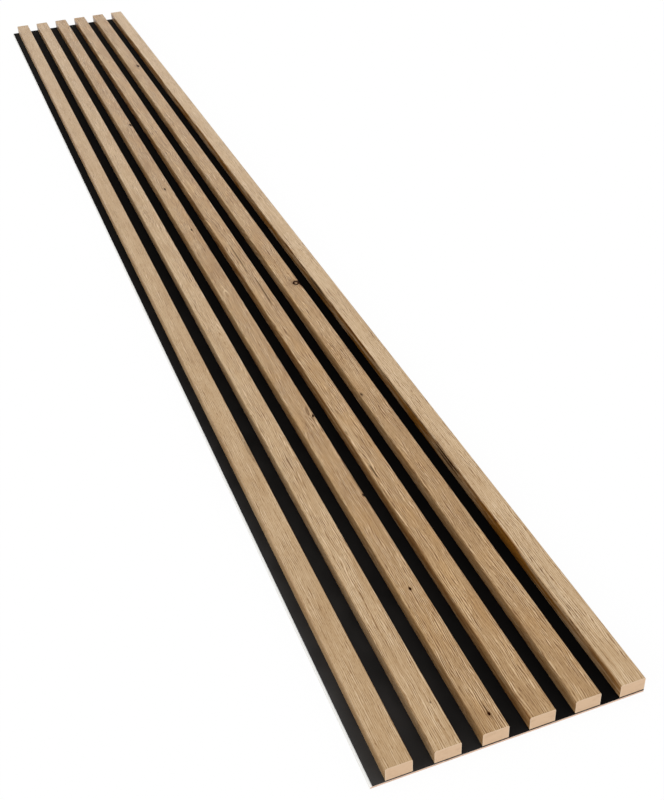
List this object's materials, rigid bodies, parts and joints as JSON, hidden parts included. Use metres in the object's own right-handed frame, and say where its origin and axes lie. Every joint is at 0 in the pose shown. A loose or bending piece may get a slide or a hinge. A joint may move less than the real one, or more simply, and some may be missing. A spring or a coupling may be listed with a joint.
{
  "type": "slat wall panel",
  "caption": "Long wall panel of parallel oak-veneered slats with softly eased top edges, spaced on thin black felt over a hardboard sheet that has a narrow bare lip along one edge.",
  "frame": {"origin": "middle of the back face, which lies on the surface", "axes": "+X across the slats, from the bare lip to the flush edge; +Y along the slats; +Z out of the back face towards the slat tops"},
  "size_m": [0.3166, 2.69, 0.0222],
  "materials": {
    "oak_veneer": "matt oiled",
    "fibreboard_core": "sawn",
    "black_felt": "pressed felt",
    "hardboard": "smooth"
  },
  "bodies": {
    "root": {"backing_board": "hardboard", "black_felt": "black_felt", "slat_core_1": "fibreboard_core", "slat_veneer_1": "oak_veneer", "slat_core_2": "fibreboard_core", "slat_veneer_2": "oak_veneer", "slat_core_3": "fibreboard_core", "slat_veneer_3": "oak_veneer", "slat_core_4": "fibreboard_core", "slat_veneer_4": "oak_veneer", "slat_core_5": "fibreboard_core", "slat_veneer_5": "oak_veneer", "slat_core_6": "fibreboard_core", "slat_veneer_6": "oak_veneer"}
  },
  "joints": []
}
